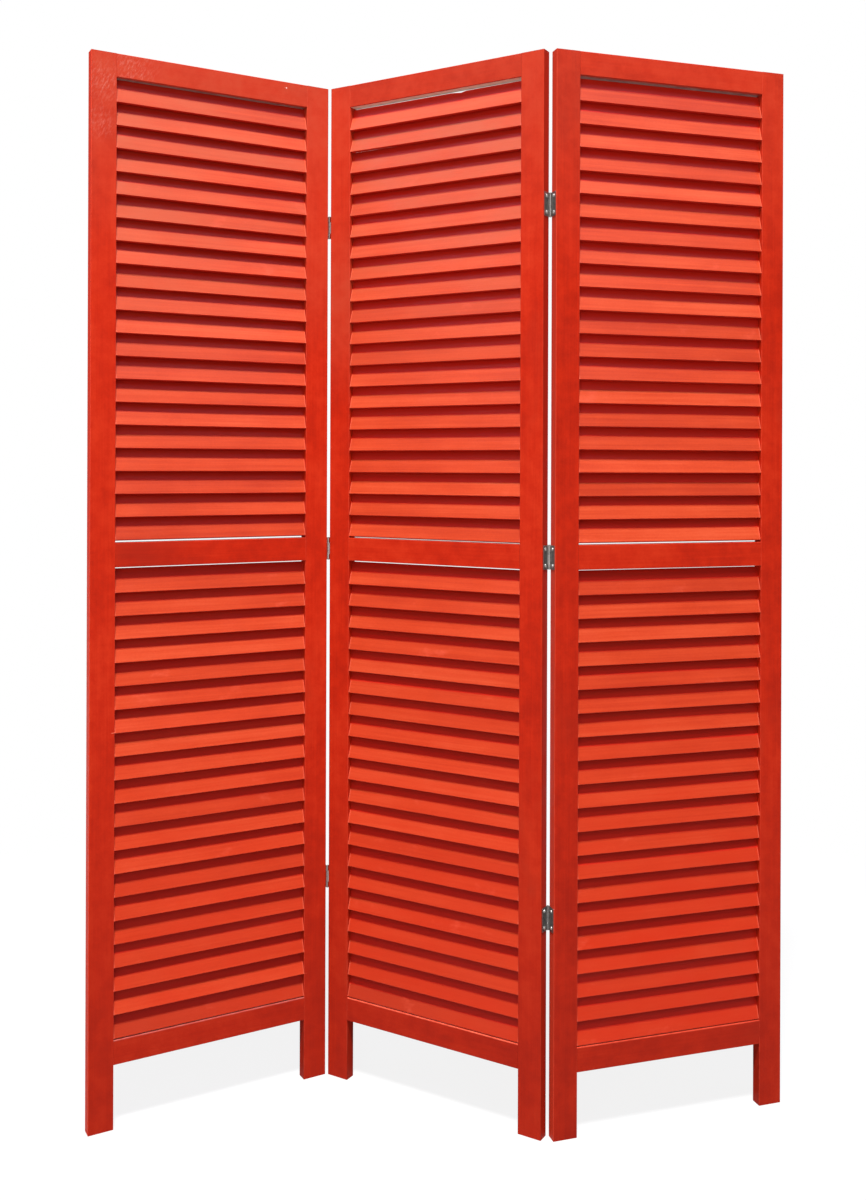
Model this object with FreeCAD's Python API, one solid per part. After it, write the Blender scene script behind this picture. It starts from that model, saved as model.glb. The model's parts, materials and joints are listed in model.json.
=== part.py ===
import FreeCAD, Part
import math
import os
from FreeCAD import Placement, Rotation, Vector

# Folding louvred screen: three framed panels of fixed slats, hinged in a zigzag.
# Sizes are in millimetres and angles in degrees.

# Panel frame
panel_width = 406.0
panel_height = 1702.0
panel_thickness = 19.0
stile_width = 40.0
leg_height = 102.0
bottom_rail_height = 39.0
mid_rail_base = 889.0
mid_rail_height = 39.0
top_rail_height = 37.0
arris_radius = 0.8

# Tenons on the rail ends, in blind mortises in the stiles
tenon_length = 18.0
tenon_thickness = 7.0
tenon_shoulder = 6.0
mortise_clearance = 0.1
mortise_end_room = 1.0

# Slats, lower edge to the front, with their ends in angled blind slots in the stiles
slat_count = 20
slat_thickness = 5.0
slat_tilt = 18.0
slat_setback = 1.0
upper_bay_play = 3.0
lower_bay_play = 2.4
slat_edge_chamfer = 0.8
slot_depth = 6.0
slot_clearance = 0.1
slot_end_room = 0.5

# Butt hinges, with flat leaves on the stiles' edges and the pin proud of one face
hinge_inset = 240.0
hinge_height = 38.0
centre_knuckle_height = 19.0
knuckle_gap = 0.2
knuckle_radius = 1.8
pin_radius = 0.9
pin_clearance = 0.05
pin_standoff = 1.4
pin_head_radius = 1.5
pin_head_height = 0.7
leaf_thickness = 0.8
leaf_reach = 16.3
leaf_corner_radius = 1.5
leaf_notch_clearance = 0.4

# Hinge screws, with low domed heads
screw_spacing = 26.0
screw_inset = 9.0
screw_radius = 1.5
screw_length = 12.7
screw_point = 3.0
screw_head_radius = 2.9
screw_head_height = 0.8
screw_hole_clearance = 0.1

# Stance: the middle panel's heading, and how far each side panel is folded from flat
middle_heading = -30.0
left_fold = 60.0
right_fold = 48.0

# Values that follow from those above
tilt = math.radians(slat_tilt)
slat_depth = panel_thickness - 2 * slat_setback
slat_width = (slat_depth - slat_thickness * math.cos(tilt)) / math.sin(tilt)
slat_rise = slat_width * math.cos(tilt) + slat_thickness * math.sin(tilt)
opening_width = panel_width - 2 * stile_width
top_rail_base = panel_height - top_rail_height
bottom_rail_top = leg_height + bottom_rail_height
mid_rail_top = mid_rail_base + mid_rail_height
middle_hinge_level = mid_rail_base + mid_rail_height / 2
hinge_levels = {
    "bottom": leg_height + hinge_inset,
    "middle": middle_hinge_level,
    "top": panel_height - hinge_inset,
}
rail_spans = {
    "bottom_rail": (leg_height, bottom_rail_top),
    "mid_rail": (mid_rail_base, mid_rail_top),
    "top_rail": (top_rail_base, panel_height),
}
bay_spans = {
    "lower_slats": (bottom_rail_top, mid_rail_base),
    "upper_slats": (mid_rail_top, top_rail_base),
}
bay_plays = {"lower_slats": lower_bay_play, "upper_slats": upper_bay_play}

# How much of a bay's play is above its top slat: each panel's slats are fixed at slightly different heights.
play_above = {
    "left": {"lower_slats": 0.75, "upper_slats": 0.15},
    "middle": {"lower_slats": 0.80, "upper_slats": 0.65},
    "right": {"lower_slats": 0.60, "upper_slats": 0.30},
}

# The four ways a leaf lies on a stile's edge: which edge of the panel, and which face the pin stands proud of.
# A leaf is drawn for a right edge with the pin at the back and turned for the others.
x_axis = Vector(1, 0, 0)
y_axis = Vector(0, 1, 0)
z_axis = Vector(0, 0, 1)
leaf_turns = {
    ("right", "back"): Rotation(),
    ("left", "back"): Rotation(y_axis, 180),
    ("left", "front"): Rotation(z_axis, 180),
    ("right", "front"): Rotation(x_axis, 180),
}
panel_hinge_edges = {
    "left": [("right", "front")],
    "middle": [("left", "front"), ("right", "back")],
    "right": [("left", "back")],
}


def box(x_span, y_span, z_span):
    corner = Vector(x_span[0], y_span[0], z_span[0])
    return Part.makeBox(x_span[1] - x_span[0], y_span[1] - y_span[0], z_span[1] - z_span[0], corner)


def ease_long_edges(solid, direction):
    """Rounds the straight edges of a squared board that run along its length."""
    long_edges = [edge for edge in solid.Edges if abs(edge.tangentAt(edge.FirstParameter) * direction) > 0.999]
    return solid.makeFillet(arris_radius, long_edges)


def upright_outline(points, x):
    """A face across the panel at the given distance from its left edge, from points of depth and height."""
    corners = [Vector(x, depth, height) for depth, height in points]
    return Part.Face(Part.makePolygon(corners + corners[:1]))


def slat_section(x, height, width, thickness, chamfer):
    """The tilted section of a slat or its slot, centred in the panel's thickness at the given height."""
    half_width = width / 2
    half_thickness = thickness / 2
    if chamfer:
        across = [(half_width, half_thickness - chamfer), (half_width - chamfer, half_thickness)]
    else:
        across = [(half_width, half_thickness)]
    corner_sets = [across, [(a, -b) for a, b in reversed(across)]]
    half_outline = corner_sets[0][::-1] + corner_sets[1][::-1]
    outline = half_outline + [(-a, -b) for a, b in half_outline]
    points = []
    for along, out in outline:
        depth = panel_thickness / 2 + along * math.sin(tilt) - out * math.cos(tilt)
        points.append((depth, height + along * math.cos(tilt) + out * math.sin(tilt)))
    return upright_outline(points, x)


def slat_levels(panel, bay):
    """Heights of the slats' centre lines, spread evenly over a bay between two rails."""
    low, high = bay_spans[bay]
    gap_above = bay_plays[bay] * play_above[panel][bay]
    gap_below = bay_plays[bay] - gap_above
    first = low + gap_below + slat_rise / 2
    last = high - gap_above - slat_rise / 2
    pitch = (last - first) / (slat_count - 1)
    return [first + pitch * index for index in range(slat_count)]


def slats(panel, bay):
    end_reach = slot_depth - slot_end_room
    start = stile_width - end_reach
    run = Vector(opening_width + 2 * end_reach, 0, 0)
    sections = [slat_section(start, level, slat_width, slat_thickness, slat_edge_chamfer)
                for level in slat_levels(panel, bay)]
    return [section.extrude(run) for section in sections]


def slat_slots(panel, side):
    """Cutters for the blind slots in the inner edge of a stile."""
    start = stile_width - slot_depth if side == "left" else panel_width - stile_width
    width = slat_width + 2 * slot_clearance
    thickness = slat_thickness + 2 * slot_clearance
    levels = [level for bay in bay_spans for level in slat_levels(panel, bay)]
    return [slat_section(start, level, width, thickness, 0).extrude(Vector(slot_depth, 0, 0)) for level in levels]


def tenon_box(rail, side, length, growth):
    """The block that a tenon fills, or with a growth all round the mortise that takes it."""
    low, high = rail_spans[rail]
    if side == "left":
        x_span = (stile_width - length, stile_width)
    else:
        x_span = (panel_width - stile_width, panel_width - stile_width + length)
    half = tenon_thickness / 2 + growth
    y_span = (panel_thickness / 2 - half, panel_thickness / 2 + half)
    return box(x_span, y_span, (low + tenon_shoulder - growth, high - tenon_shoulder + growth))


def rail(name):
    body = box((stile_width, panel_width - stile_width), (0, panel_thickness), rail_spans[name])
    body = ease_long_edges(body, x_axis)
    return body.fuse([tenon_box(name, side, tenon_length, 0) for side in ("left", "right")]).removeSplitter()


def pin_place(edge, level):
    """Where a hinge's pin stands in its panel's own frame, half way up the hinge."""
    side, face = edge
    x = -knuckle_radius if side == "left" else panel_width + knuckle_radius
    y = -pin_standoff if face == "front" else panel_thickness + pin_standoff
    return Vector(x, y, level)


def seat_on_edge(shape, edge, level):
    """Turns a piece drawn about the pin axis to the panel's edge that carries it."""
    seated = shape.copy()
    seated.Placement = Placement(pin_place(edge, level), leaf_turns[edge])
    return seated


def screw_places():
    """The two screws of a leaf, at the face that they clamp."""
    x = leaf_thickness - knuckle_radius
    y = -pin_standoff - screw_inset
    return [Vector(x, y, z) for z in (-screw_spacing / 2, screw_spacing / 2)]


def leaf(knuckle_spans):
    """A flat leaf about the pin axis, with tabs that run out to its knuckles."""
    edge_x = -knuckle_radius
    face_x = edge_x + leaf_thickness
    half_height = hinge_height / 2
    notch_y = -knuckle_radius - leaf_notch_clearance
    plate = box((edge_x, face_x), (-pin_standoff - leaf_reach, notch_y), (-half_height, half_height))
    outer_corners = [item for item in plate.Edges
                     if item.Length < 1.001 * leaf_thickness and item.CenterOfMass.y < notch_y - leaf_thickness]
    solid = plate.makeFillet(leaf_corner_radius, outer_corners)
    for low, high in knuckle_spans:
        tab = box((edge_x, face_x), (notch_y, 0), (low, high))
        barrel = Part.makeCylinder(knuckle_radius, high - low, Vector(0, 0, low))
        solid = solid.fuse([tab, barrel])
    bores = [Part.makeCylinder(pin_radius + pin_clearance, hinge_height, Vector(0, 0, -half_height))]
    hole_radius = screw_radius + screw_hole_clearance
    for place in screw_places():
        bores.append(Part.makeCylinder(hole_radius, leaf_thickness, place, -x_axis))
    return solid.removeSplitter().cut(bores)


def side_leaf():
    """The leaf with the long centre knuckle, on a side panel."""
    half = centre_knuckle_height / 2
    return leaf([(-half, half)])


def middle_leaf():
    """The leaf with the two end knuckles, on the middle panel."""
    inner = centre_knuckle_height / 2 + knuckle_gap
    outer = hinge_height / 2
    return leaf([(-outer, -inner), (inner, outer)])


def dome(radius, height, base):
    """The outline of a low domed head, from its rim to its crown, in the XZ plane."""
    sphere_radius = (radius ** 2 + height ** 2) / (2 * height)
    centre = base + height - sphere_radius
    half_angle = math.asin(radius / sphere_radius) / 2
    between = Vector(sphere_radius * math.sin(half_angle), 0, centre + sphere_radius * math.cos(half_angle))
    return Part.Arc(Vector(radius, 0, base), between, Vector(0, 0, base + height)).toShape()


def revolved(straight_points, heads):
    edges = [Part.makeLine(a, b) for a, b in zip(straight_points, straight_points[1:])]
    face = Part.Face(Part.Wire(Part.__sortEdges__(edges + heads)))
    return face.revolve(Vector(0, 0, 0), z_axis, 360)


def hinge_pin():
    half = hinge_height / 2
    upper_half = [Vector(0, 0, half + pin_head_height), Vector(0, 0, 0), Vector(pin_radius, 0, 0),
                  Vector(pin_radius, 0, half), Vector(pin_head_radius, 0, half)]
    upper = revolved(upper_half, [dome(pin_head_radius, pin_head_height, half)])
    lower = upper.mirror(Vector(0, 0, 0), z_axis)
    return upper.fuse(lower).removeSplitter()


def screw():
    """A wood screw on the Z axis with its head's underside at the origin."""
    tip = -screw_length
    straight = [Vector(0, 0, screw_head_height), Vector(0, 0, tip), Vector(screw_radius, 0, tip + screw_point),
                Vector(screw_radius, 0, 0), Vector(screw_head_radius, 0, 0)]
    return revolved(straight, [dome(screw_head_radius, screw_head_height, 0)])


def leaf_screws():
    """The screws of one leaf, about the pin axis, pointing into the stile."""
    pieces = []
    for place in screw_places():
        piece = screw()
        piece.Placement = Placement(place, Rotation(y_axis, 90))
        pieces.append(piece)
    return Part.makeCompound(pieces)


def pilot_holes(edge):
    """Cutters for the screw holes in a stile's outer edge."""
    radius = screw_radius + screw_hole_clearance
    depth = screw_length - leaf_thickness + screw_hole_clearance
    holes = []
    for place in screw_places():
        mouth = Vector(-knuckle_radius, place.y, place.z)
        holes.append(Part.makeCylinder(radius, depth, mouth, -x_axis))
    drilled = Part.makeCompound(holes)
    return [seat_on_edge(drilled, edge, level) for level in hinge_levels.values()]


def stile(panel, side):
    x_span = (0, stile_width) if side == "left" else (panel_width - stile_width, panel_width)
    board = ease_long_edges(box(x_span, (0, panel_thickness), (0, panel_height)), z_axis)
    cutters = slat_slots(panel, side)
    for name in rail_spans:
        cutters.append(tenon_box(name, side, tenon_length + mortise_end_room, mortise_clearance))
    for edge in panel_hinge_edges[panel]:
        if edge[0] == side:
            cutters.extend(pilot_holes(edge))
    return board.cut(cutters)


def panel_pieces(panel):
    """One panel's frame and slats in its own frame: left edge at x 0, front face at y 0, floor at z 0."""
    pieces = {}
    for side in ("left", "right"):
        pieces[panel + "_panel_" + side + "_stile"] = [stile(panel, side)]
    for name in rail_spans:
        pieces[panel + "_panel_" + name] = [rail(name)]
    for bay in bay_spans:
        pieces[panel + "_panel_" + bay] = slats(panel, bay)
    return pieces


def hinge_pieces(side_panel):
    """The three hinges between a side panel and the middle one, as pieces by the panel that carries them."""
    side_edge = panel_hinge_edges[side_panel][0]
    middle_edge = panel_hinge_edges["middle"][0 if side_panel == "left" else 1]
    carried = {side_panel: {}, "middle": {}}
    stem = side_panel + "_hinge_"
    for place, level in hinge_levels.items():
        carried[side_panel][stem + place + "_side_leaf"] = [seat_on_edge(side_leaf(), side_edge, level)]
        carried["middle"][stem + place + "_middle_leaf"] = [seat_on_edge(middle_leaf(), middle_edge, level)]
        carried["middle"][stem + place + "_pin"] = [seat_on_edge(hinge_pin(), middle_edge, level)]
    for panel, edge, node in ((side_panel, side_edge, "side_screws"), ("middle", middle_edge, "middle_screws")):
        groups = [seat_on_edge(leaf_screws(), edge, level) for level in hinge_levels.values()]
        carried[panel][stem + node] = [solid for group in groups for solid in group.Solids]
    return carried


def panel_placements():
    """Stands the middle panel at the origin and hangs each side panel on its pin line."""
    placements = {"middle": Placement(Vector(), Rotation(z_axis, middle_heading))}
    for panel, fold, middle_edge in (("left", left_fold, 0), ("right", right_fold, 1)):
        turn = Rotation(z_axis, middle_heading + fold)
        pin = placements["middle"].multVec(pin_place(panel_hinge_edges["middle"][middle_edge], 0))
        own_pin = turn.multVec(pin_place(panel_hinge_edges[panel][0], 0))
        placements[panel] = Placement(pin - own_pin, turn)
    return placements


def main():
    carried = {panel: panel_pieces(panel) for panel in panel_hinge_edges}
    for side_panel in ("left", "right"):
        for panel, pieces in hinge_pieces(side_panel).items():
            carried[panel].update(pieces)
    placements = panel_placements()

    nodes = {}
    for panel, pieces in carried.items():
        for node, solids in pieces.items():
            nodes[node] = Part.makeCompound(solids) if len(solids) > 1 else solids[0]
            nodes[node].Placement = placements[panel].multiply(nodes[node].Placement)

    # The origin is on the floor under the middle of the whole screen's box.
    bounds = Part.makeCompound(list(nodes.values())).optimalBoundingBox(False, False)
    shift = Vector(-bounds.Center.x, -bounds.Center.y, 0)
    os.makedirs("parts", exist_ok=True)
    for node, shape in nodes.items():
        shape.translate(shift)
        shape.exportStep("parts/" + node + ".step")

    for side_panel, middle_edge in (("left", 0), ("right", 1)):
        pin = placements["middle"].multVec(pin_place(panel_hinge_edges["middle"][middle_edge], 0)) + shift
        print("pin", side_panel, round(pin.x, 4), round(pin.y, 4))
    for panel in carried:
        for side, x in (("left", stile_width / 2), ("right", panel_width - stile_width / 2)):
            foot = placements[panel].multVec(Vector(x, panel_thickness / 2, 0)) + shift
            print("foot", panel, side, round(foot.x, 4), round(foot.y, 4))
    print("nodes", len(nodes), "slat width", round(slat_width, 2))
    print("box", round(bounds.XLength, 2), round(bounds.YLength, 2), round(bounds.ZLength, 2))


main()
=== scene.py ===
import json
import math
import random

import bpy
from mathutils import Matrix, Vector


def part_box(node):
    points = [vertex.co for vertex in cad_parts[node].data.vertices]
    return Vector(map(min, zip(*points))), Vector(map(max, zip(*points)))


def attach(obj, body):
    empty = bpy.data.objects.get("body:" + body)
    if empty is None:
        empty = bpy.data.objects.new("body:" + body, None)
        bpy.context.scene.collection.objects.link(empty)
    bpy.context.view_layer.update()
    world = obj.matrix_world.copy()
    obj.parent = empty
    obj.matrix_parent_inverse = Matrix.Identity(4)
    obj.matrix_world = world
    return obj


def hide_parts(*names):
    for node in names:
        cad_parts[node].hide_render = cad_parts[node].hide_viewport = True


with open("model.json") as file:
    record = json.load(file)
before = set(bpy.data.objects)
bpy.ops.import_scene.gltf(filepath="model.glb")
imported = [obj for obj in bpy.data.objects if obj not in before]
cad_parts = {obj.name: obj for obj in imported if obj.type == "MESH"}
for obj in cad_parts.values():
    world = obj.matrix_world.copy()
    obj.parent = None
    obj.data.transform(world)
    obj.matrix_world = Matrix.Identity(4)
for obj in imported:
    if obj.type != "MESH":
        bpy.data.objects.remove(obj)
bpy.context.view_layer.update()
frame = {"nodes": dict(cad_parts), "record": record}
nodes = frame["nodes"]

panels = ("left", "middle", "right")
feet = {mount["name"]: Vector(mount["pos_m"]) for mount in frame["record"]["mounts"]}

panelSizes = {  # the boards, in metres
    "thickness": 0.019,
    "stileWidth": 0.040,
}


def panelFrame(panel):  # a panel's heading and the foot that its own coordinates start from
    leftFoot = feet[panel + "_panel_left_foot"]
    rightFoot = feet[panel + "_panel_right_foot"]
    along = rightFoot - leftFoot
    return {"foot": leftFoot, "heading": math.atan2(along.y, along.x), "span": along.length}


panelFrames = {panel: panelFrame(panel) for panel in panels}


class Wire:  # a shader socket that takes part in sums
    def __init__(self, tree, socket=None):
        self.tree = tree
        self.socket = socket

    def node(self, kind, settings=None, inputs=None, out=0):
        made = self.tree.nodes.new(kind)
        for name, value in (settings or {}).items():
            if name == "stops":
                ramp = made.color_ramp.elements
                while len(ramp) < len(value):
                    ramp.new(0.5)
                for stop, (place, shade) in zip(ramp, value):
                    stop.position = place
                    stop.color = shade
            else:
                setattr(made, name, value)
        for name, value in (inputs or {}).items():
            if isinstance(value, Wire):
                self.tree.links.new(value.socket, made.inputs[name])
            else:
                made.inputs[name].default_value = value
        return Wire(self.tree, made.outputs[out])

    def sum(self, operation, *values):
        return self.node("ShaderNodeMath", {"operation": operation}, dict(enumerate(values)))

    def __add__(self, other):
        return self.sum("ADD", self, other)

    __radd__ = __add__

    def __sub__(self, other):
        return self.sum("SUBTRACT", self, other)

    def __rsub__(self, other):
        return self.sum("SUBTRACT", other, self)

    def __mul__(self, other):
        return self.sum("MULTIPLY", self, other)

    __rmul__ = __mul__

    def __truediv__(self, other):
        return self.sum("DIVIDE", self, other)

    def __lt__(self, other):
        return self.sum("LESS_THAN", self, other)

    def __gt__(self, other):
        return self.sum("GREATER_THAN", self, other)

    def __abs__(self):
        return self.sum("ABSOLUTE", self)


def ease(wire, low, high):  # 0 below low, 1 above high, smooth between
    span = {"interpolation_type": "SMOOTHSTEP"}
    return wire.node("ShaderNodeMapRange", span, {"Value": wire, "From Min": low, "From Max": high})


def tailing(wire, low, high, share):  # the whole share below low, none above high
    return share - share * ease(wire, low, high)


def uneven(field, least, gain):  # a share that follows a field
    return least + gain * field


def inShares(shares, fields):  # fields added up, each in its share
    parts = [fields[name] * share for name, share in shares.items()]
    return sum(parts[1:], parts[0])


def larger(first, second):
    return first.sum("MAXIMUM", first, second)


def distance(aside, onward):  # from two offsets at right angles
    square = aside * aside + onward * onward
    return square.sum("SQRT", square)


def blend(factor, under, over):
    inputs = {"Factor": factor, 6: under, 7: over}
    return factor.node("ShaderNodeMix", {"data_type": "RGBA"}, inputs, out=2)


def noise(place, seed, look, stretch=None):  # cut to a mask where the look has a cut
    stretch = stretch or look.get("stretch", (1, 1, 1))
    spread = place.node("ShaderNodeVectorMath", {"operation": "MULTIPLY"}, {0: place, 1: stretch})
    values = {
        "Vector": spread,
        "W": seed + look.get("shift", 0.0),
        "Scale": look["scale"],
        "Detail": look["detail"],
        "Roughness": look["roughness"],
    }
    field = spread.node("ShaderNodeTexNoise", {"noise_dimensions": "4D"}, values)
    return ease(field, *look["cut"]) if "cut" in look else field


def startMaterial(name):
    material = bpy.data.materials.new(name)
    material.use_nodes = True
    material.node_tree.nodes.clear()
    return material, Wire(material.node_tree)


def finishMaterial(material, surface):
    output = material.node_tree.nodes.new("ShaderNodeOutputMaterial")
    material.node_tree.links.new(surface.socket, output.inputs["Surface"])
    return material


def putMaterial(piece, material):
    piece.data.materials.clear()
    piece.data.materials.append(material)


def panelPlace(wire, panel):  # object coordinates turned to the panel: along it, into it, up
    own = panelFrames[panel]
    turn = Matrix.Rotation(-own["heading"], 3, "Z")
    start = -(turn @ own["foot"])
    start.x += panelSizes["stileWidth"] / 2
    start.y += panelSizes["thickness"] / 2
    point = wire.node("ShaderNodeTexCoord", out="Object")
    values = {"Vector": point, "Location": start, "Rotation": (0, 0, -own["heading"])}
    return wire.node("ShaderNodeMapping", {"vector_type": "POINT"}, values)


def axes(place):
    parts = place.node("ShaderNodeSeparateXYZ", None, {"Vector": place}).socket.node
    return [Wire(place.tree, parts.outputs[index]) for index in range(3)]


paintLook = {  # what all the red paint shares; colours are linear
    "worn": (0.74, 0.105, 0.055, 1),
    # bare wood, made paler to paint in the light that reaches the top rails' undersides; the chips
    # use it too
    "litBareWood": (0.98, 0.91, 0.74, 1),
    "litBareWoodDark": (0.90, 0.76, 0.56, 1),
    "fineGrain": dict(scale=1.0, detail=4.0, roughness=0.65, cut=(0.34, 0.66)),
    "wideGrain": dict(scale=0.28, shift=3.1, detail=3.0, roughness=0.55, cut=(0.34, 0.66)),
    "grainDepth": 0.00016,
    "grainStrength": 0.8,
    "glossPatch": dict(scale=24.0, shift=2.2, detail=4.0, roughness=0.65),
    "glossSpread": 0.3,
}


def paintShader(wire, colour, roughness, height, gloss):
    depth, strength = paintLook["grainDepth"], paintLook["grainStrength"]
    values = {"Height": height, "Distance": depth, "Strength": strength}
    surface = {
        "Base Color": colour,
        "Roughness": roughness,
        "Normal": wire.node("ShaderNodeBump", None, values),
        "Specular IOR Level": gloss,
    }
    return wire.node("ShaderNodeBsdfPrincipled", None, surface)


def paintRoughness(place, seed, roughness):  # in glossier and duller patches
    patch = noise(place, seed, paintLook["glossPatch"])
    return roughness + paintLook["glossSpread"] * (patch - 0.5)


def grainLines(place, seed, stretch):  # long lines of the wood under the paint, 0 to 1
    fine = noise(place, seed, paintLook["fineGrain"], stretch)
    wide = noise(place, seed, paintLook["wideGrain"], stretch)
    return fine * 0.5 + wide * 0.5


def redRamp(wire, tone, look):  # from a look's deep red to its bright one
    stops = [(place, look[name]) for name, place in look["tones"].items()]
    return wire.node("ShaderNodeValToRGB", {"stops": stops}, {"Fac": tone})


def nicks(wire, place, seed, look):  # small spots with ragged outlines, 0 or 1
    values = {"Vector": place, "W": seed, "Scale": look["scale"]}
    cell = wire.node("ShaderNodeTexVoronoi", {"voronoi_dimensions": "4D"}, values)
    return (cell < look["size"]) * (noise(place, seed, look["outline"]) > look["level"])


framePaintLook = {
    "deep": (0.40, 0.0125, 0.0030, 1),
    "red": (0.555, 0.0205, 0.0040, 1),
    "bright": (0.66, 0.038, 0.0095, 1),
    "tones": {"deep": 0.12, "red": 0.5, "bright": 0.9},
    "toneShares": {"lines": 0.20, "blotch": 0.30, "cloud": 0.26, "mottle": 0.24},
    "panelTone": {"left": 0.0, "middle": -0.06, "right": -0.05},
    "memberTone": {
        "left_panel_right_stile": 0.02,
        "middle_panel_left_stile": 0.05,
        "middle_panel_right_stile": 0.07,
        "middle_panel_mid_rail": 0.12,
        "right_panel_left_stile": -0.10,
    },
    "stileGrain": (420, 420, 9),
    "railGrain": (9, 420, 420),
    "alongGrain": 0.45,
    "blotch": dict(scale=9.0, shift=1.7, detail=4.0, roughness=0.6, cut=(0.33, 0.67)),
    "cloud": dict(scale=38.0, shift=4.1, detail=4.0, roughness=0.62, cut=(0.30, 0.70)),
    "mottle": dict(scale=260.0, shift=7.7, detail=2.0, roughness=0.6),
    # a dark red, used for smoke stains and for painted shade
    "darkRed": (0.28, 0.016, 0.007, 1),
    "smokePatch": dict(scale=4.5, shift=5.3, detail=5.0, roughness=0.66, cut=(0.53, 0.72)),
    "smokeShare": (0.25, 0.35),
    "smokeDulls": 0.08,
    # painted light: the paler red painted on the top of the frame, also used on the paled stretches
    # of stile
    "paler": (0.525, 0.060, 0.027, 1),
    "palerFrom": (1.30, 1.72),
    "palerShare": {"left": 0.82, "middle": 0.58, "right": 0.42},
    "palerPatch": (0.6, 0.4),
    # painted shade: how far up and how strongly the bottom is darkened
    "bottomShadeBelow": 0.75,
    "bottomShadeShare": 0.32,
    "arris": 0.0012,
    "rubbed": dict(scale=55.0, shift=8.9, detail=5.0, roughness=0.7, cut=(0.42, 0.60)),
    "rubbedShare": (0.08, 0.45),
    "chips": {
        "scale": 14.0,
        "size": 0.018,
        "outline": dict(scale=300.0, detail=2.0, roughness=0.55),
        "level": 0.42,
    },
    "chipShare": 0.8,
    "roughness": 0.50,
    "gloss": 0.12,
    "relief": {"lines": 0.5, "mottle": 0.6},
    "stileSeeds": {"left": 2.1, "right": 5.7},
    "stileSeedStep": 11.3,
    "railSeeds": {"bottom_rail": 0.6, "mid_rail": 3.9, "top_rail": 7.2},
    "railSeedStep": 7.9,
}
sheenSpotLook = {  # painted sheen: pink streaky highlights where a lamp's glare falls on the paint: along the panel, up, reach
    "left_panel_left_stile": ((0.018, 1.655, 0.050), (0.013, 1.590, 0.038)),
    "left_panel_top_rail": ((0.066, 1.684, 0.055),),
    "colour": (0.80, 0.34, 0.27, 1),
    "share": 0.32,
    "slant": (0.0, -0.45, 0.0),
    "streak": dict(scale=330.0, shift=6.1, detail=4.0, roughness=0.75, cut=(0.44, 0.70),
                   stretch=(1.0, 1.0, 0.3)),
}
nickLook = {  # a knock that went through to the wood
    "node": "left_panel_top_rail",
    "place": (0.328, 1.692),
    "reach": 0.0011,
    "colour": (0.85, 0.62, 0.55, 1),
}
sideLightLook = {  # painted light and shade on outer side faces: paler where light falls on the left edges of the left and right panels, darker on the middle panel's right edge
    "left_panel_left_stile": (0.95, 0.055, 0.022, 1),
    "middle_panel_right_stile": (0.43, 0.020, 0.0060, 1),
    "right_panel_left_stile": (0.72, 0.058, 0.025, 1),
    "share": 0.85,
    "depth": 0.0004,
}
paleLook = {  # stretches of stile painted paler: height, reach, share
    "left_panel_right_stile": (1.37, 0.16, 0.40),
    "middle_panel_left_stile": (1.34, 0.20, 0.75),
}
lipHighlightLook = {  # painted highlight on the bottom rails' upper front edge, where the light catches it, broken up in patches
    "reach": 0.0020,
    "share": 0.8,
    "patch": (0.6, 0.4),
    "left": (0.52, 0.13, 0.11, 1),
    "middle": (0.95, 0.15, 0.08, 1),
    "right": (0.70, 0.075, 0.036, 1),
}
undersideLook = {  # the brush stopped short of the back of the top rails' undersides
    "paintedLip": {"left": 0.0075, "middle": 0.0045, "right": 0.0070},
    "downward": -0.7,
    "ragged": dict(scale=60.0, detail=3.0, roughness=0.55),
    "raggedReach": 0.003,
    # painted shade on the bare strips of these panels
    "shaded": ("left", "right"),
    "shadedShare": (0.78, 0.15),
}


def apart(along, up, spot):  # how far a point of a panel's face is from a spot on it
    return distance(along - spot[0], up - spot[1])


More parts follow.
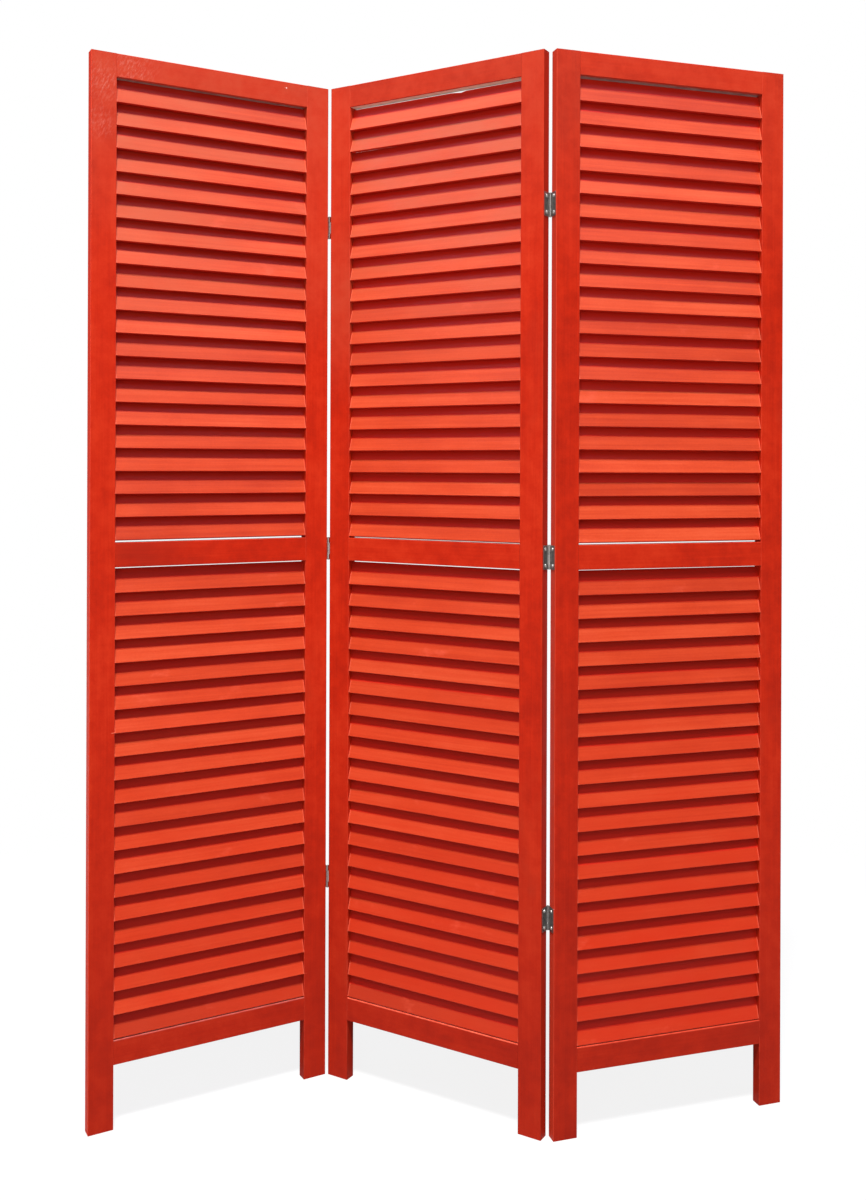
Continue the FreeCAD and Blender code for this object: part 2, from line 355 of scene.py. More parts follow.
def framePaint(node, panel, grain, acrossAxis, acrossSpan, seed):
    look = framePaintLook
    material, wire = startMaterial(node + "_paint")
    place = panelPlace(wire, panel)
    along, depth, up = axes(place)
    lines = grainLines(place, seed, look[grain])
    fineness = max(look[grain])
    squash = tuple(1.0 if each == fineness else look["alongGrain"] for each in look[grain])
    blotch = noise(place, seed, look["blotch"], squash)
    darkRed = noise(place, seed, look["smokePatch"], squash)
    cloud = noise(place, seed, look["cloud"])
    mottle = noise(place, seed, look["mottle"])
    fields = {"lines": lines, "blotch": blotch, "cloud": cloud, "mottle": mottle}
    ownTone = look["panelTone"][panel] + look["memberTone"].get(node, 0.0)
    colour = redRamp(wire, inShares(look["toneShares"], fields) + ownTone, look)
    colour = blend(darkRed * uneven(cloud, *look["smokeShare"]), colour, look["darkRed"])
    # painted light: the top is painted paler, as a pool of light and sheen, strongest on the left
    # panel
    paintedLightTop = ease(up, *look["palerFrom"]) * look["palerShare"][panel]
    colour = blend(paintedLightTop * uneven(cloud, *look["palerPatch"]), colour, look["paler"])
    # painted shade: darker towards the bottom
    bottomShade = tailing(up, 0.0, look["bottomShadeBelow"], look["bottomShadeShare"])
    colour = blend(bottomShade, colour, look["darkRed"])
    if node in paleLook:
        level, reach, share = paleLook[node]
        paled = tailing(abs(up - level), 0.0, reach, share)
        colour = blend(paled * uneven(cloud, *look["palerPatch"]), colour, look["paler"])
    # the arrises, where the paint is rubbed
    across = (along, depth, up)[acrossAxis]
    middle = (acrossSpan[0] + acrossSpan[1]) / 2
    half = (acrossSpan[1] - acrossSpan[0]) / 2
    toSide = half - abs(across - middle)
    toFace = panelSizes["thickness"] / 2 - abs(depth - panelSizes["thickness"] / 2)
    arris = (1 - ease(toSide, 0.0, look["arris"])) * (1 - ease(toFace, 0.0, look["arris"]))
    rubbed = noise(place, seed, look["rubbed"])
    colour = blend(arris * uneven(rubbed, *look["rubbedShare"]), colour, paintLook["worn"])
    # painted light and shade on the outer side faces
    if node in sideLightLook:
        colour = blend((toSide < sideLightLook["depth"]) * sideLightLook["share"], colour, sideLightLook[node])
    # painted highlight along the bottom rail's upper front edge
    if node.endswith("bottom_rail"):
        lip = ease(up, acrossSpan[1] - lipHighlightLook["reach"], acrossSpan[1] - lipHighlightLook["reach"] / 2)
        worn = lip * lipHighlightLook["share"] * uneven(rubbed, *lipHighlightLook["patch"])
        colour = blend(worn, colour, lipHighlightLook[panel])
    # small nicks through to the wood, then the painted sheen spots
    chip = nicks(wire, place, seed, look["chips"])
    colour = blend(chip * look["chipShare"], colour, paintLook["litBareWood"])
    for spot in sheenSpotLook.get(node, ()):
        values = {"Vector": place, "Rotation": sheenSpotLook["slant"]}
        slanted = wire.node("ShaderNodeMapping", None, values)
        streak = noise(slanted, seed, sheenSpotLook["streak"])
        near = 1 - ease(apart(along, up, spot), 0.0, spot[2])
        colour = blend(near * streak * sheenSpotLook["share"], colour, sheenSpotLook["colour"])
    if node == nickLook["node"]:
        knocked = apart(along, up, nickLook["place"]) < nickLook["reach"]
        colour = blend(knocked, colour, nickLook["colour"])
    if node.endswith("top_rail"):
        facing = axes(wire.node("ShaderNodeNewGeometry", out="Normal"))[2]
        ragged = noise(place, seed, undersideLook["ragged"]) * undersideLook["raggedReach"]
        unpainted = depth + ragged > undersideLook["paintedLip"][panel]
        bare = (facing < undersideLook["downward"]) * unpainted
        wood = blend(lines, paintLook["litBareWoodDark"], paintLook["litBareWood"])
        # painted shade: the bare strips of the left and right panels are darkened
        if panel in undersideLook["shaded"]:
            wood = blend(uneven(cloud, *undersideLook["shadedShare"]), wood, look["darkRed"])
        colour = blend(bare, colour, wood)
    roughness = paintRoughness(place, seed, look["roughness"]) + look["smokeDulls"] * darkRed
    height = inShares(look["relief"], fields)
    return finishMaterial(material, paintShader(wire, colour, roughness, height, look["gloss"]))


def paintFrame():
    count = 0
    look = framePaintLook
    width = panelSizes["stileWidth"]
    for number, panel in enumerate(panels):
        opening = panelFrames[panel]["span"] - width
        stileSpans = {"left": (0.0, width), "right": (opening + width, opening + 2 * width)}
        for side, span in stileSpans.items():
            node = panel + "_panel_" + side + "_stile"
            seed = look["stileSeedStep"] * number + look["stileSeeds"][side]
            putMaterial(nodes[node], framePaint(node, panel, "stileGrain", 0, span, seed))
            count += 1
        for rail, railSeed in look["railSeeds"].items():
            node = panel + "_panel_" + rail
            low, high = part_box(node)
            span = (low[2], high[2])
            seed = look["railSeedStep"] * number + railSeed
            putMaterial(nodes[node], framePaint(node, panel, "railGrain", 2, span, seed))
            count += 1
    print("frame painted:", count, "members")


slatLook = {  # one slat, in metres and degrees, and how far it strays from its neighbours
    "width": 0.0400,
    "thickness": 0.005,
    "endSeat": 0.0055,
    "tilt": 18.0,
    "perBay": 20,
    "edge": 0.0005,
    "edgeSteps": 2,
    "stations": 6,
    "tiltSpread": 1.7,
    "twistSpread": 1.3,
    "bowSpread": 1.0,
    "crispAngle": 20.0,
    "drawSeed": 20,
}


def deselectAll():
    if bpy.context.object and bpy.context.object.mode != "OBJECT":
        bpy.ops.object.mode_set(mode="OBJECT")
    bpy.ops.object.select_all(action="DESELECT")


def selectEdges(piece, wanted):  # picks edges in code, by their two ends
    bpy.ops.object.mode_set(mode="EDIT")
    bpy.ops.mesh.select_all(action="DESELECT")
    bpy.ops.mesh.select_mode(type="EDGE")
    bpy.ops.object.mode_set(mode="OBJECT")
    points = piece.data.vertices
    for edge in piece.data.edges:
        edge.select = wanted(points[edge.vertices[0]].co, points[edge.vertices[1]].co)
    bpy.ops.object.mode_set(mode="EDIT")


def cutAcross(place):  # a crossing of the whole slat, in edit mode
    bpy.ops.mesh.select_all(action="SELECT")
    bpy.ops.mesh.bisect(plane_co=(place, 0, 0), plane_no=(1, 0, 0))


def shiftEdges(slat, wanted, rise):  # moves the picked edges over the slat's width
    selectEdges(slat, wanted)
    bpy.ops.transform.translate(value=(0, 0, rise))
    bpy.ops.object.mode_set(mode="OBJECT")


def modelSlat(length):  # lies along X, with its width up and its face to -Y
    deselectAll()
    bpy.ops.mesh.primitive_cube_add(size=1)
    slat = bpy.context.object
    slat.name = "slatPattern"
    slat.scale = (length, slatLook["thickness"], slatLook["width"])
    bpy.ops.object.transform_apply(location=False, rotation=False, scale=True)
    selectEdges(slat, lambda a, b: abs(a.x - b.x) > length / 2)
    bpy.ops.mesh.bevel(offset=slatLook["edge"], segments=slatLook["edgeSteps"], affect="EDGES")
    for step in range(1, slatLook["stations"]):  # crossings, so that the slat can bow
        cutAcross(length * (step / slatLook["stations"] - 0.5))
    bpy.ops.object.mode_set(mode="OBJECT")
    # -0.5 at the lower edge, 0.5 at the upper
    reaches = [point.co.z / slatLook["width"] for point in slat.data.vertices]
    slat.data.attributes.new("slatReach", "FLOAT", "POINT").data.foreach_set("value", reaches)
    return slat


def warp(piece, method, axis, angle):
    modifier = piece.modifiers.new(method, "SIMPLE_DEFORM")
    modifier.deform_method = method
    modifier.deform_axis = axis
    modifier.angle = angle
    bpy.ops.object.modifier_apply(modifier=method)


topSlatLook = {  # the uppermost slats of one bay, counted from the top, and one chip in the first
    "panel": "middle",
    "bay": "upper",
    "taller": {1: 0.0005, 2: 0.0006, 3: -0.0003},
    "chipPlace": 0.048,
    "chipReach": 0.020,
    "chipDepth": 0.0022,
}


def fitTopSlat(slat, fromTop):
    upper = slatLook["width"] / 4
    if fromTop in topSlatLook["taller"]:
        rise = topSlatLook["taller"][fromTop]
        shiftEdges(slat, lambda a, b: min(a.z, b.z) > upper, rise)
    if fromTop != 1:
        return
    middle, reach = topSlatLook["chipPlace"], topSlatLook["chipReach"]
    bpy.ops.object.mode_set(mode="EDIT")
    for side in (-1, 0, 1):
        cutAcross(middle + side * reach)
    bpy.ops.object.mode_set(mode="OBJECT")

    def atChip(a, b):
        return min(a.z, b.z) > upper and max(abs(a.x - middle), abs(b.x - middle)) < reach / 4

    shiftEdges(slat, atChip, -topSlatLook["chipDepth"])


lowSlatLook = {"left": 0.00035, "middle": 0.0002, "right": 0.0007}  # the lowest slat is let down


def fitLowSlat(slat, panel):
    lower = -slatLook["width"] / 4
    shiftEdges(slat, lambda a, b: max(a.z, b.z) < lower, -lowSlatLook[panel])


def copyOf(pattern):
    deselectAll()
    pattern.select_set(True)
    bpy.context.view_layer.objects.active = pattern
    bpy.ops.object.duplicate(linked=False)
    return bpy.context.object


def applyPlace(piece, matrix):
    piece.matrix_world = matrix
    bpy.ops.object.transform_apply(location=True, rotation=True, scale=True)


def joined(pieces, name):
    deselectAll()
    for piece in pieces:
        piece.select_set(True)
    bpy.context.view_layer.objects.active = pieces[0]
    bpy.ops.object.join()
    whole = bpy.context.object
    whole.name = name
    whole.data.name = name
    return whole


slatPaintLook = {
    "deep": (0.44, 0.034, 0.010, 1),
    "red": (0.57, 0.056, 0.016, 1),
    "bright": (0.66, 0.088, 0.030, 1),
    "tones": {"deep": 0.18, "red": 0.48, "bright": 0.78},
    "toneShares": {"lines": 0.30, "blotch": 0.20, "tone": 0.26, "mottle": 0.24},
    "panelTone": {"left": -0.03, "middle": 0.0, "right": -0.07},
    "toneShift": (40.0, 7.0, 3.0),  # sets one slat's patterns apart from the next one's
    "tint": 0.20,
    "grain": (8, 520, 520),
    "blotch": dict(scale=11.0, shift=1.7, detail=4.0, roughness=0.6, cut=(0.33, 0.67),
                   stretch=(0.5, 1, 1)),
    "mottle": dict(scale=300.0, shift=7.7, detail=2.0, roughness=0.6),
    "lightPatch": dict(scale=13.0, shift=3.3, detail=4.0, roughness=0.62, cut=(0.32, 0.68),
                 stretch=(0.45, 1, 1)),
    # painted shade: the redder tone low down
    "low": (0.555, 0.0275, 0.0068, 1),
    "lowFrom": (0.1, 1.0),
    "lowShare": {"left": 0.65, "middle": 0.80, "right": 0.95},
    "lowPatch": (1.25, -0.5),
    # painted shade on the lowest slat
    "bottomShade": (0.40, 0.032, 0.0120, 1),
    "bottomShadeUpTo": 0.174,
    "bottomShadeShare": {"left": 0.55, "middle": 0.60, "right": 0.0},
    "bottomShadeSide": (0.10, 0.30),
    "bottomShadeLoss": (1.0, -0.6),
    # painted sheen: the paler tone high up
    "high": (0.49, 0.082, 0.034, 1),
    "highFrom": (1.05, 1.65),
    "highShare": {"left": 0.62, "middle": 0.66, "right": 0.14},
    "highPatch": (0.35, 1.3),
    "highLean": {"left": -1.8, "middle": 0.0, "right": -0.4},
    "highMiddle": 0.25,
    "seam": (0.80, 0.17, 0.10, 1),
    "seamReach": 0.0025,
    "seamShare": 0.45,
    # painted shade: the crimson painted where the slat above casts its shadow, and how its edge and
    # depth run
    "paintedShade": (0.50, 0.0115, 0.0040, 1),
    "paintedShadeEdge": {
        "left": (0.58, 0.014, 0.0060, 1),
        "middle": (0.76, 0.015, 0.0065, 1),
        "right": (0.82, 0.018, 0.0085, 1),
    },
    "shadeBoundary": (-0.01, 0.05),
    "shadeBoundaryRise": 0.05,
    "shadeBoundaryRiseFrom": (0.2, 1.7),
    "shadeDepth": (0.08, 0.32),
    "shadeOpen": {"left": 0.15, "middle": 0.75, "right": 0.85},
    "shadeOpenFrom": (0.9, 1.2),
    "shadeLow": 0.35,
    "shadeLowFrom": (0.7, 1.1),
    "shadeGrain": (1.0, -0.2),
    "underEdge": (-0.497, -0.489),
    "scuff": dict(scale=20.0, shift=9.1, detail=4.0, roughness=0.7, cut=(0.60, 0.74),
                  stretch=(0.6, 1, 1)),
    "scuffOpen": (1.0, -0.8),
    "scuffShare": (0.15, 0.35),
    "nicks": {
        "scale": 16.0,
        "size": 0.02,
        "outline": dict(scale=320.0, detail=2.0, roughness=0.55),
        "level": 0.45,
    },
    "nickShare": 0.55,
    "roughness": 0.35,
    "gloss": 0.30,
    "relief": {"lines": 0.6, "mottle": 0.4},
    "baySeeds": {"lower": 3.9, "upper": 1.3},
    "panelSeedStep": 4.7,
}


def slatPaint(node, panel, seed):
    look = slatPaintLook
    own = panelFrames[panel]
    material, wire = startMaterial(node + "_paint")
    tone = wire.node("ShaderNodeAttribute", {"attribute_name": "slatTone"}, out="Fac")
    reach = wire.node("ShaderNodeAttribute", {"attribute_name": "slatReach"}, out="Fac")
    place = panelPlace(wire, panel)
    along, _, up = axes(place)
    offsets = {axis: tone * shift for axis, shift in enumerate(look["toneShift"])}
    shifted = wire.node("ShaderNodeCombineXYZ", None, offsets)
    place = wire.node("ShaderNodeVectorMath", {"operation": "ADD"}, {0: place, 1: shifted})
    lines = grainLines(place, seed, look["grain"])
    blotch = noise(place, seed, look["blotch"])
    mottle = noise(place, seed, look["mottle"])
    fields = {"lines": lines, "blotch": blotch, "tone": tone, "mottle": mottle}
    shade = inShares(look["toneShares"], fields) + look["panelTone"][panel]
    colour = redRamp(wire, shade, look)
    # painted shade: redder low down; painted sheen: paler high up, in patches, leaning along the
    # panel
    lightPatch = noise(place, seed, look["lightPatch"])
    low = tailing(up, *look["lowFrom"], look["lowShare"][panel])
    colour = blend(low * uneven(lightPatch, *look["lowPatch"]), colour, look["low"])
    colour = blend(look["tint"] * (1 - tone), colour, look["deep"])
    # painted shade: the lowest slat is darker, less so towards its right end
    bottomShade = look["bottomShadeShare"][panel] * (up < look["bottomShadeUpTo"])  # the lowest slat
    bottomShade = bottomShade * uneven(ease(along, *look["bottomShadeSide"]), *look["bottomShadeLoss"])
    colour = blend(bottomShade, colour, look["bottomShade"])
    high = ease(up, *look["highFrom"]) * look["highShare"][panel]
    lean = look["highLean"][panel] * (along / (2 * own["span"]) - look["highMiddle"])
    colour = blend(high * (uneven(lightPatch, *look["highPatch"]) + lean), colour, look["high"])
    # a pale seam where the slat enters the stile
    half, edge = own["span"] / 2, panelSizes["stileWidth"] / 2
    toEnd = half - abs(along - half - edge) - edge
    colour = blend(tailing(toEnd, 0.0, look["seamReach"], look["seamShare"]), colour, look["seam"])
    # painted shade: where the slat above casts its shadow, the upper part of each slat is painted
    # crimson, darker deep under the slat above and low down, lighter towards the shadow's edge,
    # which rises with height to follow the lamp
    rise = look["shadeBoundaryRise"] * ease(up, *look["shadeBoundaryRiseFrom"])
    paintedShade = ease(reach - rise, *look["shadeBoundary"])
    opened = look["shadeOpen"][panel] * ease(up, *look["shadeOpenFrom"])
    deepIn = ease(reach, *look["shadeDepth"]) * (1 - opened)
    lowDown = tailing(up, *look["shadeLowFrom"], look["shadeLow"])
    first = blend(larger(deepIn, lowDown), look["paintedShadeEdge"][panel], look["paintedShade"])
    colour = blend(paintedShade * uneven(lines, *look["shadeGrain"]), colour, first)
    # painted shade on the slat's lower edge face
    colour = blend(1 - ease(reach, *look["underEdge"]), colour, look["paintedShade"])
    # scuffs and nicks, mostly outside the painted shade
    scuff = uneven(paintedShade, *look["scuffOpen"]) * noise(place, seed, look["scuff"])
    colour = blend(scuff * uneven(lines, *look["scuffShare"]), colour, paintLook["worn"])
    nick = nicks(wire, place, seed, look["nicks"])
    colour = blend(nick * look["nickShare"], colour, paintLook["worn"])
    roughness = paintRoughness(place, seed, look["roughness"])
    height = inShares(look["relief"], fields)
    return finishMaterial(material, paintShader(wire, colour, roughness, height, look["gloss"]))


def stray(draw, spread):  # an angle that is mostly within the spread, given in degrees
    return math.radians(draw.gauss(0, 0.5) * spread)


def makeSlats():
    draw = random.Random(slatLook["drawSeed"])
    tilt = math.radians(slatLook["tilt"])
    rise = slatLook["width"] * math.cos(tilt) + slatLook["thickness"] * math.sin(tilt)
    opening = panelFrames["middle"]["span"] - panelSizes["stileWidth"]
    pattern = modelSlat(opening + 2 * slatLook["endSeat"])
    for number, panel in enumerate(panels):
        own = panelFrames[panel]
        turn = Matrix.Rotation(own["heading"], 4, "Z")
        middle = own["foot"] + turn @ Vector((own["span"] / 2, 0, 0))
        for bay, baySeed in slatPaintLook["baySeeds"].items():
            node = panel + "_panel_" + bay + "_slats"
            low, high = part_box(node)
            first = low[2] + rise / 2
            pitch = (high[2] - low[2] - rise) / (slatLook["perBay"] - 1)
            slats = []
            for step in range(slatLook["perBay"]):
                slat = copyOf(pattern)
                if (panel, bay) == (topSlatLook["panel"], topSlatLook["bay"]):
                    fitTopSlat(slat, slatLook["perBay"] - step)
                if bay == "lower" and step == 0:
                    fitLowSlat(slat, panel)
                warp(slat, "TWIST", "X", stray(draw, slatLook["twistSpread"]))
                warp(slat, "BEND", "Z", stray(draw, slatLook["bowSpread"]))
                lean = -tilt + stray(draw, slatLook["tiltSpread"])
                level = Matrix.Translation(middle + Vector((0, 0, first + pitch * step)))
                applyPlace(slat, level @ turn @ Matrix.Rotation(lean, 4, "X"))
                tone = slat.data.attributes.new("slatTone", "FLOAT", "POINT")
                tone.data.foreach_set("value", [draw.random()] * len(slat.data.vertices))
                slats.append(slat)
            piece = joined(slats, node + "_painted")
            crisp = math.radians(slatLook["crispAngle"])
            bpy.ops.object.shade_smooth_by_angle(angle=crisp)  # the edges stay crisp
            seed = slatPaintLook["panelSeedStep"] * number + baySeed
            putMaterial(piece, slatPaint(node, panel, seed))
            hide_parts(node)
            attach(piece, panel + "_panel")
    bpy.data.objects.remove(pattern)
    print("slats laid:", len(panels) * 2 * slatLook["perBay"])


hingeLook = {
    "knuckleRadius": 0.0018,
    "leafThickness": 0.0008,
    "standoff": 0.0014,
    "screwInset": 0.009,
    "screwSpacing": 0.026,
    "plate": (0.44, 0.42, 0.405, 1),
    "tarnish": (0.17, 0.155, 0.15, 1),
    "brushed": dict(scale=1.0, detail=3.0, roughness=0.6, stretch=(2600, 2600, 60)),
    "stain": dict(scale=160.0, shift=2.0, detail=4.0, roughness=0.6, cut=(0.45, 0.70)),
    "dullShares": {"stain": 0.8, "brushed": 0.2},
    "knuckleEdge": 1.2,
    "knuckleClean": 0.75,
    "roughness": 0.34,
    "brushedRough": 0.2,
    "stainRough": 0.2,
    "knuckleSmooth": 0.22,
    "brushDepth": 0.00003,
    "brushStrength": 0.5,
    "seed": 1.9,
}


def hingeMetal(hinge):
    look = hingeLook
    material, wire = startMaterial(hinge + "_nickel")
    place = wire.node("ShaderNodeTexCoord", out="Object")
    brushed = noise(place, look["seed"], look["brushed"])
    stain = noise(place, look["seed"], look["stain"])
    low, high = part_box(hinge + "_middle_pin")
    along, back, _ = axes(place)
    fromPin = distance(along - (low[0] + high[0]) / 2, back - (low[1] + high[1]) / 2)
    radius = look["knuckleRadius"]
    turned = 1 - ease(fromPin, radius, look["knuckleEdge"] * radius)
    dull = inShares(look["dullShares"], {"stain": stain, "brushed": brushed})
    dull = dull * (1 - look["knuckleClean"] * turned)  # use keeps the knuckles bright
    roughness = look["roughness"] + look["brushedRough"] * (brushed - 0.5)
    roughness = roughness + look["stainRough"] * stain - look["knuckleSmooth"] * turned
    depth, strength = look["brushDepth"], look["brushStrength"]
    values = {"Height": brushed, "Distance": depth, "Strength": strength}
    surface = {
        "Base Color": blend(dull, look["plate"], look["tarnish"]),
        "Roughness": roughness,
        "Metallic": 1.0,
        "Normal": wire.node("ShaderNodeBump", None, values),
    }
    return finishMaterial(material, wire.node("ShaderNodeBsdfPrincipled", None, surface))


def plateHinges():
    metals = {hinge: hingeMetal(hinge) for hinge in ("left_hinge", "right_hinge")}
    for name, node in nodes.items():
        if name.endswith("_leaf") or name.endswith("_pin"):
            putMaterial(node, metals["_".join(name.split("_")[:2])])
    print("hinges plated")


screwLook = {
    "headRadius": 0.0029,
    "headHeight": 0.00095,
    "shoulder": 3.0,
    "rings": (0.00287, 0.00278, 0.0026, 0.0023, 0.0018, 0.0009),
    "shankRadius": 0.0015,
    "length": 0.0127,
    "point": 0.003,
    "sides": 20,
    "recessLength": 0.0032,
    "recessWidth": 0.0007,
    "recessDepth": 0.0006,
    "crispAngle": 35.0,
    "drawSeed": 6,
    "nickel": (0.88, 0.86, 0.83, 1),
    "shade": (0.58, 0.56, 0.53, 1),
    "stain": dict(scale=900.0, detail=3.0, roughness=0.6, cut=(0.40, 0.70)),
    "roughness": (0.34, 0.2),
    "seed": 3.3,
}


def screwMetal():
    material, wire = startMaterial("screw_nickel")
    place = wire.node("ShaderNodeTexCoord", out="Object")
    stain = noise(place, screwLook["seed"], screwLook["stain"])
    surface = {
        "Base Color": blend(stain, screwLook["nickel"], screwLook["shade"]),
        "Roughness": uneven(stain, *screwLook["roughness"]),
        "Metallic": 1.0,
    }
    return finishMaterial(material, wire.node("ShaderNodeBsdfPrincipled", None, surface))


def crown(radius):  # the height of the round head at a distance from its middle
    rim, power = screwLook["headRadius"], screwLook["shoulder"]
    return screwLook["headHeight"] * (1 - (radius / rim) ** power) ** (1 / power)


def modelScrew():  # stands on Z, with the underside of its head at the origin
    deselectAll()
    start = screwLook["point"] - screwLook["length"]
    bpy.ops.mesh.primitive_circle_add(vertices=screwLook["sides"], radius=screwLook["shankRadius"],
                                      fill_type="NGON", location=(0, 0, start))
    screw = bpy.context.object
    screw.name = "screwPattern"
    bpy.ops.object.transform_apply(location=True, rotation=False, scale=False)
    bpy.ops.object.mode_set(mode="EDIT")
    bpy.ops.mesh.select_all(action="SELECT")
    steps = [(screwLook["shankRadius"], 0.0), (screwLook["headRadius"], 0.0)]
    steps += [(radius, crown(radius)) for radius in screwLook["rings"]]
    radius, height = screwLook["shankRadius"], start
    for nextRadius, nextHeight in steps:  # draws the outline up, ring by ring
        move = {"value": (0, 0, nextHeight - height)}
        bpy.ops.mesh.extrude_region_move(TRANSFORM_OT_translate=move)
        ratio = nextRadius / radius
        bpy.ops.transform.resize(value=(ratio, ratio, 1), center_override=(0, 0, nextHeight))
        radius, height = nextRadius, nextHeight
    bpy.ops.object.mode_set(mode="OBJECT")
    closeWithPoint(screw, start)
    cutRecess(screw)
    return screw


def closeWithPoint(screw, start):  # draws the open lower ring down to the tip
    slack = 1e-6
    selectEdges(screw, lambda a, b: abs(a.z - start) < slack and abs(b.z - start) < slack)
    move = {"value": (0, 0, -screwLook["point"])}
    bpy.ops.mesh.extrude_region_move(TRANSFORM_OT_translate=move)
    bpy.ops.mesh.merge(type="CENTER")
    bpy.ops.mesh.select_all(action="SELECT")
    bpy.ops.mesh.normals_make_consistent(inside=False)
    bpy.ops.object.mode_set(mode="OBJECT")


def cutRecess(screw):  # a cross, cut by two blades of a tool shaped like the driver's tip
    size = (screwLook["recessLength"], screwLook["recessWidth"], 2 * screwLook["recessDepth"])
    for turn in (0.0, math.pi / 2):
        deselectAll()
        bpy.ops.mesh.primitive_cube_add(size=1)
        blade = bpy.context.object
        blade.scale = size
        blade.rotation_euler.z = turn
        blade.location.z = screwLook["headHeight"]
        bpy.ops.object.transform_apply(location=True, rotation=True, scale=True)
        deselectAll()
        screw.select_set(True)
        bpy.context.view_layer.objects.active = screw
        modifier = screw.modifiers.new("recess", "BOOLEAN")
        modifier.operation = "DIFFERENCE"
        modifier.object = blade
        bpy.ops.object.modifier_apply(modifier="recess")
        bpy.data.objects.remove(blade)


leafPlaces = {  # by group of screws: the panel, which way its edge faces, which way the leaf runs
    "left_hinge_side": ("left", 1, 1),
    "left_hinge_middle": ("middle", -1, 1),
    "right_hinge_middle": ("middle", 1, -1),
    "right_hinge_side": ("right", -1, -1),
}


def driveScrews():
    draw = random.Random(screwLook["drawSeed"])
    pattern = modelScrew()
    metal = screwMetal()
    toFace = hingeLook["leafThickness"] - hingeLook["knuckleRadius"]
    inset = hingeLook["standoff"] + hingeLook["screwInset"]
    for stem, (panel, outward, intoPanel) in leafPlaces.items():
        hinge = stem.rsplit("_", 1)[0]
        turn = Matrix.Rotation(panelFrames[panel]["heading"], 4, "Z")
        face = Matrix.Rotation(outward * math.pi / 2, 4, "Y")
        screws = []
        for level in ("bottom", "middle", "top"):
            low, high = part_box(hinge + "_" + level + "_pin")
            pin = Matrix.Translation((Vector(low) + Vector(high)) / 2)
            for side in (-0.5, 0.5):
                rise = side * hingeLook["screwSpacing"]
                place = Matrix.Translation((outward * toFace, intoPanel * inset, rise))
                screw = copyOf(pattern)
                spin = Matrix.Rotation(draw.uniform(0, math.pi), 4, "Z")
                applyPlace(screw, pin @ turn @ place @ face @ spin)
                screws.append(screw)
        piece = joined(screws, stem + "_screws_driven")
        bpy.ops.object.shade_smooth_by_angle(angle=math.radians(screwLook["crispAngle"]))
        putMaterial(piece, metal)
        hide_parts(stem + "_screws")
        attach(piece, panel + "_panel")
    bpy.data.objects.remove(pattern)
    print("screws driven")


stageLook = {
    "floorRadius": 14.0,
    "floorSides": 96,
    "floor": (0.30, 0.30, 0.30, 1),
    "floorSeen": (0.85, 0.85, 0.85, 1),
    "white": (1, 1, 1, 1),
    "fade": (0.6, 1.8),
    "lift": 0.86,
    "fill": 0.12,
    "backdrop": (0.86, 0.98),
}


def raySorts(wire):  # what looks straight at the background, and what mirrors it
    sorts = [wire.node("ShaderNodeLightPath", out=name)
             for name in ("Is Camera Ray", "Is Transmission Ray", "Is Glossy Ray")]
    return larger(sorts[0], sorts[1]), sorts[2]


def lightWorld():
    world = bpy.data.worlds.new("studio")
    bpy.context.scene.world = world
    world.use_nodes = True
    tree = world.node_tree
    tree.nodes.clear()
    wire = Wire(tree)
    looking, mirroring = raySorts(wire)
    toBack = axes(wire.node("ShaderNodeTexCoord", out="Generated"))[1]
    seen = larger(looking, mirroring * ease(toBack, *stageLook["backdrop"]))  # behind the object
    strength = stageLook["fill"] + (1 - stageLook["fill"]) * seen
    values = {"Color": stageLook["white"], "Strength": strength}
    light = wire.node("ShaderNodeBackground", None, values)
    output = tree.nodes.new("ShaderNodeOutputWorld")
    tree.links.new(light.socket, output.inputs["Surface"])


def makeStage():
    lightWorld()
    deselectAll()
    bpy.ops.mesh.primitive_circle_add(vertices=stageLook["floorSides"],
                                      radius=stageLook["floorRadius"], fill_type="NGON")
    floor = bpy.context.object
    floor.name = "floor"
    material, wire = startMaterial("pale_floor")
    along, back, _ = axes(wire.node("ShaderNodeTexCoord", out="Object"))
    looking, mirroring = raySorts(wire)
    shade = blend(looking, stageLook["floor"], stageLook["floorSeen"])
    matte = wire.node("ShaderNodeBsdfDiffuse", None, {"Color": shade})
    values = {"Color": stageLook["white"], "Strength": 1.0}
    white = wire.node("ShaderNodeEmission", None, values)
    far = ease(distance(along, back), *stageLook["fade"])
    seen = larger(looking * larger(far, stageLook["lift"]), mirroring * far)
    shown = wire.node("ShaderNodeMixShader", None, {0: seen, 1: matte, 2: white})
    putMaterial(floor, finishMaterial(material, shown))
    print("stage set")


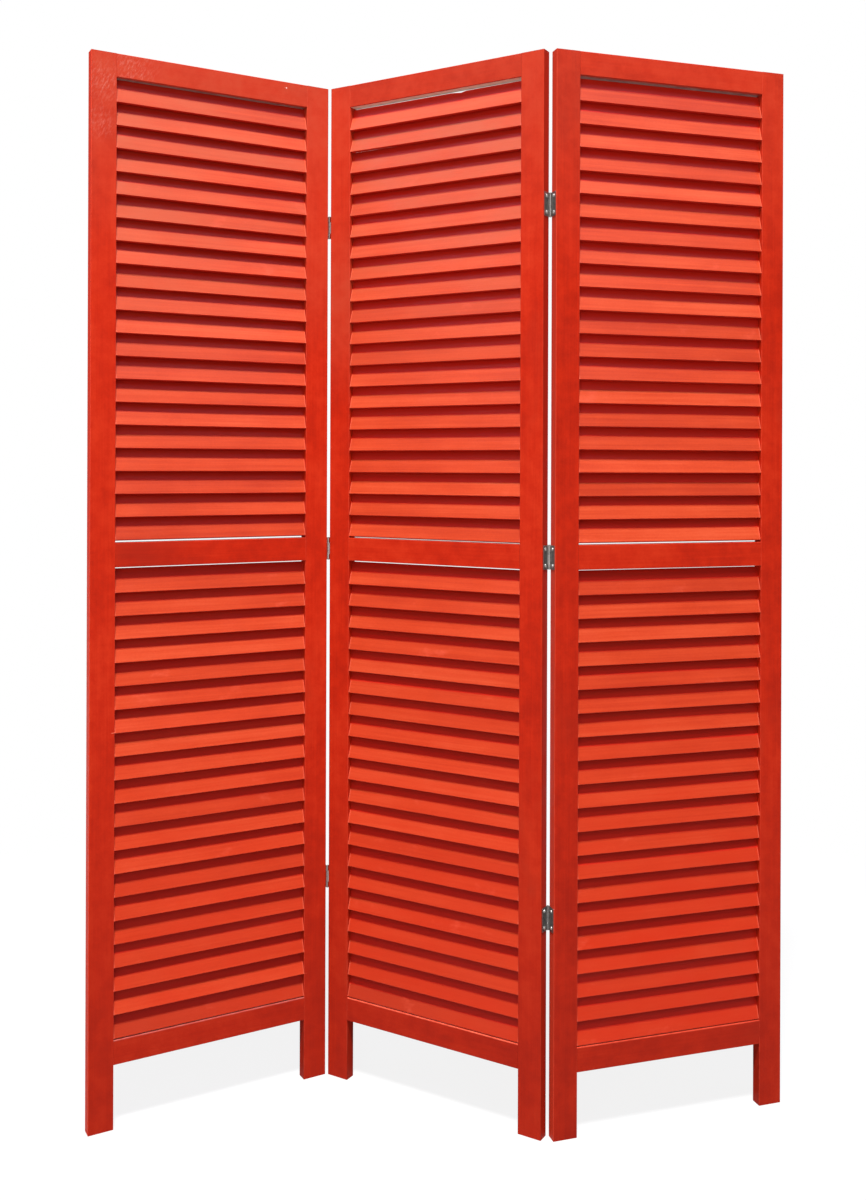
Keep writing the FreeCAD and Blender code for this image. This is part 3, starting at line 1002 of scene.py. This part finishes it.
lampLook = {  # name: place, aim, side of the square, watts, colour
    "key": ((-0.1, -2.90, 7.6), (0.0, 0.0, 0.85), 0.90, 940.0, (1.0, 1.0, 1.0)),
    "frontSoft": ((-0.7, -3.6, 1.6), (0.0, 0.0, 0.9), 2.4, 29.0, (1.0, 0.98, 0.96)),
    "leftSoft": ((-2.4, -0.8, 4.1), (0.0, 0.0, 1.4), 1.8, 18.0, (0.70, 0.66, 1.0)),
    "rightSoft": ((2.1, -1.4, 4.2), (0.0, 0.0, 1.4), 1.8, 13.0, (0.70, 0.66, 1.0)),
}


def hangLamps():
    for name, (place, aim, side, watts, colour) in lampLook.items():
        lamp = bpy.data.lights.new(name, "AREA")
        lamp.shape = "SQUARE"
        lamp.size = side
        lamp.energy = watts
        lamp.color = colour
        holder = bpy.data.objects.new(name, lamp)
        bpy.context.scene.collection.objects.link(holder)
        holder.location = place
        toAim = Vector(aim) - Vector(place)
        holder.rotation_euler = toAim.to_track_quat("-Z", "Y").to_euler()
    print("lamps hung:", len(lampLook))


cameraLook = {  # from a fit to the panels' corners in the 866 by 1200 picture
    "place": (0.0064, -2.0049, 1.0496),
    "turn": 0.66,
    "roll": 0.195,
    "focalPixels": 1216.0,
    "axisRow": 467.0,
    "rows": 1200.0,
    "sensor": 36.0,
}


def setCamera():
    look = cameraLook
    camera = bpy.data.cameras.new("camera")
    camera.sensor_width = look["sensor"]
    camera.lens = look["sensor"] * look["focalPixels"] / look["rows"]
    camera.shift_y = (look["axisRow"] - look["rows"] / 2) / look["rows"]
    holder = bpy.data.objects.new("camera", camera)
    bpy.context.scene.collection.objects.link(holder)
    upright = Matrix.Rotation(math.pi / 2, 4, "X")
    turn = Matrix.Rotation(math.radians(look["turn"]), 4, "Z")
    roll = Matrix.Rotation(math.radians(look["roll"]), 4, "Z")
    holder.matrix_world = Matrix.Translation(look["place"]) @ turn @ upright @ roll
    bpy.context.scene.camera = holder
    print("camera set")


paintFrame()
makeSlats()
plateHinges()
driveScrews()
makeStage()
hangLamps()
setCamera()
bpy.context.scene.view_settings.view_transform = "Standard"
